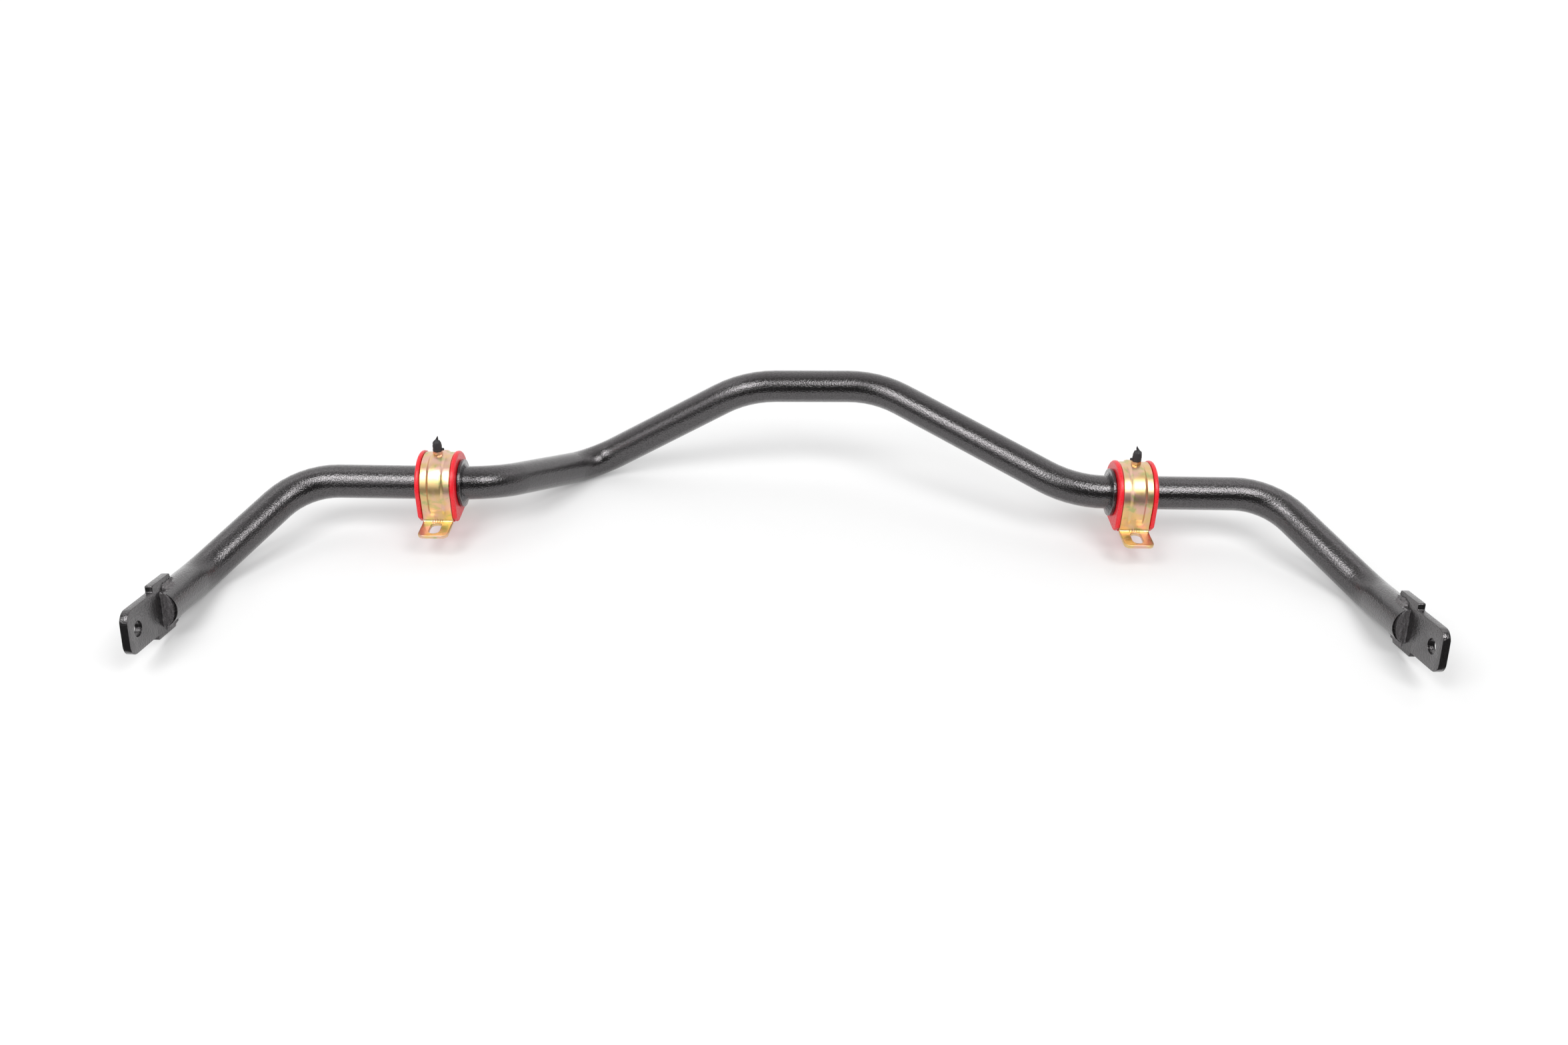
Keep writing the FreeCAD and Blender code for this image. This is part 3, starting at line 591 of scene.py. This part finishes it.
# ---------------------------------------------------------------- rubber caps
# Radius and height over the cap's rim, in mm, up the outside to the nib; then down the inside.
CAP_OUTSIDE = (
    (3.6, 0.0), (4.1, 0.0), (4.45, 0.35), (4.48, 1.0), (4.2, 1.5), (4.15, 2.2), (4.2, 3.5),
    (4.1, 5.0), (3.95, 6.3), (3.8, 7.4), (3.6, 8.3), (3.2, 9.1), (2.6, 9.7), (1.95, 10.1),
    (1.6, 10.5), (1.4, 11.2), (1.2, 12.0), (0.95, 12.9), (0.7, 13.8), (0.42, 14.5),
)
CAP_INSIDE = ((0.0, 8.6), (2.6, 8.4), (3.4, 7.4), (3.6, 6.0), (3.6, 0.0))
CAP_RADIUS = 4.5
# Rows of the pull tab, in mm: distance out, half width, lowest and highest height.
TAB_ROWS = (
    (3.7, 1.3, 0.1, 2.4), (4.6, 1.3, 0.0, 2.4), (5.4, 1.2, 0.1, 2.3),
    (6.0, 0.95, 0.4, 1.9), (6.2, 0.5, 0.8, 1.5),
)
# Heights, in mm, over which the wall's folds begin and end, and the nib leans over and is pinched flat.
FOLDS_BEGIN, FOLDS_END = (1.5, 4.0), (9.5, 11.5)
LEAN_OVER, PINCH_OVER = (9.5, 15.0), (10.0, 11.5)
NIB_LEAN = 1.5
NIB_PINCH = 0.38


def cap_radius(r, z, a, side):
    """The outside's radius in one direction: folds up the wall, a rough skin and a nib pinched flat."""
    fold = 0.16 * math.cos(7 * a + 0.7 * z) + 0.12 * math.cos(11 * a - z)
    fold *= smooth(z, *FOLDS_BEGIN) * (1 - smooth(z, *FOLDS_END))
    rough = 0.22 * lump((r * math.cos(a), r * math.sin(a), z), 2.2, side)
    return r * nib_pinch(z, a) + (fold + rough if 0.0 < r and z > 0 else 0.0)


def nib_pinch(z, a):
    return 1 - NIB_PINCH * smooth(z, *PINCH_OVER) * abs(math.sin(a))


def squared(value):
    """Pushes a sine or cosine outwards, which makes a circle a soft square."""
    return math.copysign(abs(value) ** 0.6, value)


def make_dust_cap(name, side):
    low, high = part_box("dust_cap_" + name)
    middle = bush_middle(name)
    at = Vector((middle.x, middle.y, low.z))
    tip = (0.0, (high.z - low.z) / MM)
    outside = CAP_OUTSIDE + (tip,)
    rows = []
    for index, (r, z) in enumerate(outside + CAP_INSIDE):
        lean = NIB_LEAN * smooth(z, *LEAN_OVER)
        row = []
        for i in range(64):
            a = math.tau * i / 64
            radius = cap_radius(r, z, a, side) if index < len(outside) else r * nib_pinch(z, a)
            radius = max(0.0, min(CAP_RADIUS, radius))
            row.append(at + Vector((radius * math.cos(a) - side * lean, radius * math.sin(a), z)) * MM)
        rows.append(row)
    tab = []
    for x, half, z_low, z_high in TAB_ROWS:
        row = []
        for i in range(20):
            a = math.tau * i / 20
            y = half * squared(math.cos(a))
            z = (z_low + z_high) / 2 + (z_high - z_low) / 2 * squared(math.sin(a))
            row.append(at + Vector((-side * x, y, z)) * MM)
        tab.append(row)
    shape = merge(skin(rows), skin(tab, cap=True))
    body = node = "dust_cap_" + name
    piece("rubber_cap_" + name, shape, "black_rubber", body, node, sharp_deg=60)


# ---------------------------------------------------------------- end plates
# In this section and the next, sizes are in mm, in the frame of plate_point.
# A plate rises 27 over a run of 121 towards its link hole.
PLATE_TURN = math.atan2(27.0, 121.0)
PLATE_HALF = 3.175
PLATE_EASE = 0.45
# Corners of the outline: place along the plate, height, rounding.
PLATE_CORNERS = (
    (-16.0, -19.0, 10.0), (31.0, -19.0, 1.2), (31.0, -23.3, 1.5), (63.0, -23.3, 1.5),
    (63.0, 24.9, 1.5), (31.0, 24.9, 1.5), (31.0, 19.0, 1.2), (-16.0, 19.0, 10.0),
)
HOLE_RADIUS = 6.5
LINK_HOLES = {
    side: Vector(next(m for m in frame["record"]["mounts"] if m["name"] == "link_hole_" + name)["pos_m"])
    for name, side in (("left", -1), ("right", 1))
}


def plate_point(side, x, along, up):
    """Point in the scene from mm off the link hole: across, back along the plate, and up square to it."""
    c, s = math.cos(PLATE_TURN), math.sin(PLATE_TURN)
    x, along, up = x * MM, along * MM, up * MM
    return LINK_HOLES[side] + Vector((x, along * c + up * s, up * c - along * s))


def rounded_loop(corners, steps=8):
    """Closed outline through corners given as (x, y, radius)."""
    loop = []
    count = len(corners)
    for i, (x, y, radius) in enumerate(corners):
        p = Vector((x, y))
        b = Vector(corners[i - 1][:2])
        a = Vector(corners[(i + 1) % count][:2])
        back, ahead = (b - p).normalized(), (a - p).normalized()
        half = back.angle(ahead) / 2
        trim = radius / math.tan(half)
        hub = p + (back + ahead).normalized() * (radius / math.sin(half))
        first = p + back * trim - hub
        turn = first.angle_signed(p + ahead * trim - hub)
        for k in range(steps + 1):
            spoke = first.copy()
            spoke.rotate(Matrix.Rotation(-turn * k / steps, 2))
            loop.append(hub + spoke)
    return loop


def inset(loop, amount):
    """Outline moved sideways by amount, to the left of its direction."""
    moved = []
    for before, here, after in zip(loop[-1:] + loop[:-1], loop, loop[1:] + loop[:1]):
        a, b = (here - before).normalized(), (after - here).normalized()
        side_a, side_b = Vector((-a.y, a.x)), Vector((-b.y, b.x))
        middle = (side_a + side_b).normalized()
        moved.append(here + middle * amount / max(0.5, middle.dot(side_a)))
    return moved


def plate_levels():
    """Across the plate from face to face: place, and how far the eased edge is drawn in there."""
    face = []
    for i in range(3, -1, -1):
        a = math.pi / 2 * i / 3
        face.append((-PLATE_HALF + PLATE_EASE * (1 - math.sin(a)), PLATE_EASE * (1 - math.cos(a))))
    return face + [(-x, drawn_in) for x, drawn_in in reversed(face)]


def make_plate(name, side):
    """The plate's edge and the hole's wall as bands, with each face filled between their rims."""
    turns = [math.tau * i / 48 for i in range(48)]
    hole = [Vector((HOLE_RADIUS * math.cos(-a), HOLE_RADIUS * math.sin(-a))) for a in turns]
    bands = []
    for loop in (rounded_loop(PLATE_CORNERS), hole):
        rows = []
        for x, drawn_in in plate_levels():
            moved = inset(loop, drawn_in) if drawn_in > 0 else loop
            rows.append([plate_point(side, x, p.x, p.y) for p in moved])
        bands.append(skin(rows))
    verts, faces = merge(*bands)
    mesh = bpy.data.meshes.new("plate_" + name)
    mesh.from_pydata([tuple(v) for v in verts], [], faces)
    bm = bmesh.new()
    bm.from_mesh(mesh)
    open_edges = [e for e in bm.edges if e.is_boundary]
    middle = LINK_HOLES[side].x
    for way in (-1, 1):
        rim = [e for e in open_edges if e.is_valid and (e.verts[0].co.x - middle) * way > 0]
        bmesh.ops.triangle_fill(bm, use_beauty=True, use_dissolve=False, edges=rim)
    bm.to_mesh(mesh)
    bm.free()
    shape = ([v.co.copy() for v in mesh.vertices], [tuple(p.vertices) for p in mesh.polygons])
    bpy.data.meshes.remove(mesh)
    piece("link_plate_" + name, shape, "hammertone_black", "bar", "end_plate_" + name, sharp_deg=32)


# ---------------------------------------------------------------- welds at the end plates
# How far behind the link hole the tube's mouth is.
MOUTH = 42.5
# A half-disc of weld in the mouth: mean radius, what it gains upright and loses sideways, and limits.
MOUTH_RADIUS, MOUTH_OVAL = 13.9, 1.2
MOUTH_WIDEST = 15.5
MOUTH_PROUD_MOST = 1.8
# It is squeezed sideways, to start at the plate's face and still keep its place at this radius.
MOUTH_REACH = 13.3
# Rings of points over the half-disc, and round the skirt behind its rim.
MOUTH_RINGS, MOUTH_SKIRT = 18, 3
SKIRT_DEEP = 5.0
# The rough patch on a wing: where it starts, how long it is without its teeth, and its heights.
PATCH_START, PATCH_LONG, PATCH_TEETH = 46.5, 16.2, 4.6
PATCH_FOOT, PATCH_CREST = 14.0, 20.6
PATCH_ROOT = 2.4
# The seam bead under a wing on one face, and the bead down the wing's rear edge.
SEAM_FROM, SEAM_TO, SEAM_RADIUS = (4.4, 47.5, 15.6), (3.8, 65.0, 15.4), 2.0
REAR_FROM, REAR_TO, REAR_RADIUS = (0.0, 64.0, 15.4), (0.0, 63.6, 22.3), 2.4


def mouth_weld_point(side, face, ring, a):
    """Point of a half-disc: lumpy, raised along the plate, ragged at its rim and turned back past it."""
    ragged = MOUTH_RADIUS - MOUTH_OVAL * math.cos(2 * a)
    ragged += 0.9 * lump((0, a * 3.0, face), 0.45, side) + 0.55 * lump((0, a * 9.0, face), 0.4, side)
    share = min(1.0, ring / MOUTH_RINGS)
    r = min(MOUTH_WIDEST, ragged) * share
    x, up = r * math.cos(a), r * math.sin(a)
    proud = 0.85 + 0.5 * lump((x, up, 3 * face), 4.0, side) + 0.3 * lump((x, up, face), 1.5, side)
    proud += 0.55 * hill(x, 0.0, 1.0) * (0.7 + 0.5 * lump((0, up, face), 1.3, side))
    proud += 0.5 * hill(share, 0.95, 0.06) * (0.6 + lump((0, a * 14, face), 0.5, side))
    proud -= SKIRT_DEEP * max(0, ring - MOUTH_RINGS) / MOUTH_SKIRT
    proud = min(MOUTH_PROUD_MOST, proud)
    out = PLATE_HALF + x * (MOUTH_REACH - PLATE_HALF) / MOUTH_REACH
    return plate_point(side, face * out, MOUTH - proud, up)


def make_end_weld(name, side):
    """Ragged half-discs of weld metal in the tube's mouth, one on each face of the plate."""
    turns = [-math.pi / 2 + math.pi * i / 72 for i in range(73)]
    shapes = []
    for face in (-1, 1):
        rows = []
        for ring in range(MOUTH_RINGS + MOUTH_SKIRT + 1):
            rows.append([mouth_weld_point(side, face, ring, a) for a in turns])
        back = (rows[-1], [tuple(range(len(turns)))])
        shapes += [skin(rows), back]
    shape = merge(*shapes)
    obj = piece("mouth_weld_" + name, shape, "hammertone_black", "bar", "end_weld_" + name, sharp_deg=60)
    # Painted light: the paler, less metallic copy of the bar's paint
    obj.data.materials[0] = PAINTED_LIGHT_WELD_PAINT


def bead(side, start, end, radius, seed, steps=72, around=20):
    """Weld bead between two points of the plate's frame, rippled and uneven."""
    start, end = Vector(start), Vector(end)
    along = (end - start).normalized()
    across = along.orthogonal().normalized()
    other = along.cross(across)
    length = (end - start).length
    rows = []
    for k in range(steps + 1):
        t = k / steps
        here = start + along * length * t
        end_round = math.sqrt(max(0.02, 1 - (2 * t - 1) ** 12))
        ripple = 0.18 * abs(math.sin(t * length / 2.6 * math.pi)) ** 0.7
        row = []
        for i in range(around):
            a = math.tau * i / around
            out = across * math.cos(a) + other * math.sin(a)
            at = here + out * radius
            r = radius * end_round + ripple + 0.6 * lump(at, 2.6, seed) + 0.45 * lump(at, 0.9, seed)
            row.append(plate_point(side, *(here + out * r)))
        rows.append(row)
    return skin(rows, cap=True)


def weld_patch(side, sx, sz, seed):
    """Rough fillet on one face of a wing, from the tube up the wing, with two teeth past its rear edge."""
    steps, across = 60, 26
    rows = []
    for k in range(steps + 1):
        t = k / steps
        full = smooth(t, 0.0, 0.10) * (1 - 0.75 * smooth(t, 0.9, 1.0))
        outer, inner = [], []
        for j in range(across + 1):
            v = j / across
            teeth = PATCH_TEETH * max(0.0, math.cos(math.tau * 2 * (v - 0.22))) ** 1.5
            along = PATCH_START + t * (PATCH_LONG + teeth + 0.6 * lump((v * 9, 0, 0), 1.2, seed))
            crest = PATCH_CREST + lump((along, 0, 0), 3.0, seed) + 0.6 * lump((along, 3, 0), 1.1, seed)
            up = PATCH_FOOT + (crest - PATCH_FOOT) * v
            thick = 0.9 + 3.2 * (1 - v) ** 1.8
            thick += 0.75 * lump((along, up, 0), 2.0, seed) + 0.45 * lump((along, up, 4), 0.8, seed)
            x = PLATE_HALF + max(0.25, thick * full)
            outer.append(plate_point(side, sx * x, along, sz * up))
            inner.append(plate_point(side, sx * PATCH_ROOT, along, sz * up))
        rows.append(outer + inner[::-1])
    return skin(rows, cap=True)


def mirrored(point, sx, sz):
    x, along, up = point
    return sx * x, along, sz * up


def make_plate_weld(name, side):
    """A seam bead and a patch on both faces of both wings, and a bead down each wing's rear edge."""
    shapes = []
    for sx in (-1, 1):
        for sz in (-1, 1):
            seed = 10 * sx + 3 * sz + side
            ends = mirrored(SEAM_FROM, sx, sz), mirrored(SEAM_TO, sx, sz)
            shapes.append(bead(side, *ends, SEAM_RADIUS, seed))
            shapes.append(weld_patch(side, sx, sz, seed + 0.5))
    for sz in (-1, 1):
        seed = 31 + sz + side
        ends = mirrored(REAR_FROM, 1, sz), mirrored(REAR_TO, 1, sz)
        shapes.append(bead(side, *ends, REAR_RADIUS, seed, steps=30))
    shape = merge(*shapes)
    obj = piece("wing_weld_" + name, shape, "hammertone_black", "bar", "plate_weld_" + name, sharp_deg=60)
    # Painted light: the paler, less metallic copy of the bar's paint
    obj.data.materials[0] = PAINTED_LIGHT_WELD_PAINT


# ---------------------------------------------------------------- welds at the locating rings
TUBE = 15.875 * MM
# Degrees from straight down, going round by the front: how far the metal underneath is full and
# where it ends, and where the tack's middle is, how far to each side it is full and where it ends.
UNDER_FULL, UNDER_END = 55, 82
TACK_AT, TACK_FULL, TACK_END = 205, 14, 32
# Along the tube and up the ring, in mm: the bare trace, and what each stretch of metal adds.
LEG, LEG_UNDER, LEG_TACK = 0.45, 5.0, 3.4
TALL, TALL_UNDER, TALL_TACK = 0.5, 4.9, 3.2
TALLEST = 6.1
HOLLOW = 0.192
TOE_SUNK = 1.7


def make_ring_weld(name, side):
    """Uneven fillet on the ring's inboard face: full underneath, a tack on top, bare in front above."""
    low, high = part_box("ring_weld_" + name)
    middle = bush_middle(name)
    face = Vector((low.x if side < 0 else high.x, middle.y, middle.z))
    rows = []
    for k in range(144):
        turn = 360.0 * k / 144
        under = 1 - smooth(min(turn, 360 - turn), UNDER_FULL, UNDER_END)
        tack = 1 - smooth(abs(turn - TACK_AT), TACK_FULL, TACK_END)
        metal = under + tack
        leg = LEG + LEG_UNDER * under + LEG_TACK * tack
        leg *= 1 + 0.10 * lump((turn, 0, 0), 14.0, side) + 0.10 * lump((turn, 5, 0), 5.0, side)
        tall = TALL + TALL_UNDER * under + TALL_TACK * tack
        tall = min(TALLEST, tall + 0.5 * lump((turn, 9, 0), 8.0, side) * metal)
        a = math.radians(turn)
        way = Vector((0, -math.sin(a), -math.cos(a)))
        row = []
        for j in range(11):
            t = j / 10
            hollow = 1 - HOLLOW * math.sin(math.pi * t)
            out = tall * (1 - t) ** 1.15 * hollow
            away = leg * t**1.15 * hollow
            rough = 0.18 * lump((turn * 0.28, out, away), 1.3, side) * metal * math.sin(math.pi * t)
            r = TUBE + (out + rough - TOE_SUNK * t**2) * MM
            row.append(face + Vector((-side * (away + rough) * MM, 0, 0)) + way * r)
        row.append(face + way * (TUBE - 2.0 * MM))
        rows.append(row)
    shape = skin(rows, wrap_rows=True)
    piece("ring_fillet_" + name, shape, "hammertone_black", "bar", "ring_weld_" + name, sharp_deg=60)


for name, side in (("left", -1), ("right", 1)):
    make_bracket(name)
    make_bushing(name)
    make_dust_cap(name, side)
    make_plate(name, side)
    make_end_weld(name, side)
    make_plate_weld(name, side)
    make_ring_weld(name, side)


# ---------------------------------------------------------------- studio
# In metres. The paper's glow is measured from a point GLOW_FRONT in front of the origin, near the lamps.
# Distance counts for less across than behind.
GLOW_FRONT = 0.9
GLOW_SQUEEZE = (0.77, 1.0, 1.0)
GLOW_REACH = 5.0
# Share of GLOW_REACH, and the glow there.
GLOW_STOPS = (
    (0.08, 0.06), (0.146, 0.14), (0.182, 0.19), (0.286, 0.35),
    (0.372, 0.45), (0.508, 0.57), (0.754, 0.66),
)
GLOW_NEAR, GLOW_FAR = 0.05, 0.70

# The sky's strength along Y, from in front of the object to behind it.
SKY_FROM, SKY_TO = -0.70, 0.75
SKY_FRONT, SKY_BACK = 0.05, 1.1

FRONT_EDGE = -0.20
FLOOR_HALF, FLOOR_BACK, FLOOR_FRONT = 8, 9, -9
WALL_RADIUS = 7.5
WALL_FROM, WALL_TO = -0.01, 6.0
WALL_SIDES = 64

# Name, place, what it points at, size, radiance.
SOFTBOXES = (
    ("key_left", (-0.80, -1.06, 1.50), (-0.3, 0.0, 0.05), (0.9, 0.9), 8.5),
    ("key_right", (0.80, -1.06, 1.50), (0.3, 0.0, 0.05), (0.9, 0.9), 8.5),
    ("rim_left", (-1.14, 0.43, 1.50), (-0.4, 0.0, 0.05), (0.7, 0.5), 1.1),
    ("rim_right", (1.14, 0.43, 1.50), (0.4, 0.0, 0.05), (0.7, 0.5), 1.1),
    ("low_left", (-1.10, -1.60, 0.80), (-0.4, 0.0, 0.05), (1.1, 0.7), 1.5),
    ("side_left", (-2.00, -0.85, 0.98), (-0.2, 0.1, 0.08), (0.7, 0.6), 3.4),
)


def stage_mesh(name, verts, faces, material):
    mesh = bpy.data.meshes.new(name)
    mesh.from_pydata(verts, [], faces)
    mesh.materials.append(material)
    obj = bpy.data.objects.new(name, mesh)
    SCENE.collection.objects.link(obj)
    return obj


def floor_sheet(name, front, back, material):
    left, right = -FLOOR_HALF, FLOOR_HALF
    corners = [(left, front, 0), (right, front, 0), (right, back, 0), (left, back, 0)]
    return stage_mesh(name, corners, [(0, 1, 2, 3)], material)


def even_light(s):
    """Glow that grows away from the lamps, so that the paper is equally white all over."""
    axes = s.new("ShaderNodeSeparateXYZ")
    s.link(s.place(GLOW_SQUEEZE), axes.inputs[0])
    across = axes.outputs["X"]
    behind = s.math("ADD", axes.outputs["Y"], GLOW_FRONT)
    squares = s.math("ADD", s.math("MULTIPLY", across, across), s.math("MULTIPLY", behind, behind))
    ramp = s.new("ShaderNodeValToRGB")
    s.link(s.math("DIVIDE", s.math("SQRT", squares), GLOW_REACH, clamp=True), ramp.inputs[0])
    stops = ramp.color_ramp.elements
    for place, glow in GLOW_STOPS:
        stops.new(place).color = (glow, glow, glow, 1)
    stops[0].color = (GLOW_NEAR, GLOW_NEAR, GLOW_NEAR, 1)
    stops[-1].color = (GLOW_FAR, GLOW_FAR, GLOW_FAR, 1)
    return ramp.outputs["Color"]


def floor_paper():
    s = Shader("floor_paper")
    s.set(
        Base_Color=s.mix(s.noise(s.place(), 40.0), (0.595, 0.595, 0.595, 1), (0.605, 0.605, 0.605, 1)),
        Roughness=0.9,
        Specular_IOR_Level=0.1,
        Emission_Color=(1, 1, 1, 1),
        Emission_Strength=even_light(s),
    )
    return s.material


def backdrop_white():
    s = Shader("backdrop_white")
    s.set(
        Base_Color=(0, 0, 0, 1),
        Emission_Color=(1, 1, 1, 1),
        Emission_Strength=1.0,
        Specular_IOR_Level=0.0,
    )
    return s.material


def make_floor():
    """Two sheets of one paper: the front one isn't mirrored in the object, as if it were in shade."""
    paper = floor_paper()
    floor_sheet("floor", FRONT_EDGE, FLOOR_BACK, paper)
    front = floor_sheet("floor_front", FLOOR_FRONT, FRONT_EDGE, paper)
    front.visible_glossy = False


def make_backdrop():
    """A round white wall that only the camera sees."""
    turns = [math.tau * i / WALL_SIDES for i in range(WALL_SIDES)]
    verts = []
    for z in (WALL_FROM, WALL_TO):
        verts += [(WALL_RADIUS * math.cos(a), WALL_RADIUS * math.sin(a), z) for a in turns]
    faces = []
    for i in range(WALL_SIDES):
        k = (i + 1) % WALL_SIDES
        faces.append((i, k, WALL_SIDES + k, WALL_SIDES + i))
    wall = stage_mesh("backdrop", verts, faces, backdrop_white())
    wall.visible_glossy = False
    wall.visible_diffuse = False
    wall.visible_shadow = False


def softbox(name, at, target, size, radiance):
    light = bpy.data.lights.new(name, "AREA")
    light.shape = "RECTANGLE"
    light.size, light.size_y = size
    light.energy = radiance * math.pi * size[0] * size[1]
    obj = bpy.data.objects.new(name, light)
    SCENE.collection.objects.link(obj)
    obj.location = at
    obj.rotation_mode = "QUATERNION"
    obj.rotation_quaternion = (Vector(target) - Vector(at)).to_track_quat("-Z", "Y")
    obj.visible_camera = False


def make_world():
    """Sky that is nearly black in front of the object and white behind it."""
    world = bpy.data.worlds.new("studio")
    SCENE.world = world
    world.use_nodes = True
    s = Shader("studio", world.node_tree)
    axes = s.new("ShaderNodeSeparateXYZ")
    s.link(s.new("ShaderNodeTexCoord").outputs["Generated"], axes.inputs[0])
    background = s.nodes["Background"]
    s.link((1, 1, 1, 1), background.inputs["Color"])
    strength = s.remap(axes.outputs["Y"], SKY_FROM, SKY_TO, SKY_FRONT, SKY_BACK)
    s.link(strength, background.inputs["Strength"])


make_floor()
make_backdrop()
for lamp in SOFTBOXES:
    softbox(*lamp)
make_world()

# ---------------------------------------------------------------- camera
CAMERA_AT = (-0.0106, -1.0329, 0.6505)
CAMERA_RIGHT = Vector((0.99988, 0.00143, 0.01550)).normalized()
CAMERA_UP = Vector((-0.0141, 0.5053, 0.8628))
CAMERA_BACK = CAMERA_RIGHT.cross(CAMERA_UP).normalized()
CAMERA_TURN = Matrix((CAMERA_RIGHT, CAMERA_BACK.cross(CAMERA_RIGHT).normalized(), CAMERA_BACK)).transposed()

camera_data = bpy.data.cameras.new("camera")
camera_data.sensor_width = 36.0
camera_data.lens = 29.85
camera_data.clip_start = 0.01
camera_data.clip_end = 50.0
camera = bpy.data.objects.new("camera", camera_data)
SCENE.collection.objects.link(camera)
camera.matrix_world = Matrix.Translation(CAMERA_AT) @ CAMERA_TURN.to_4x4()
SCENE.camera = camera
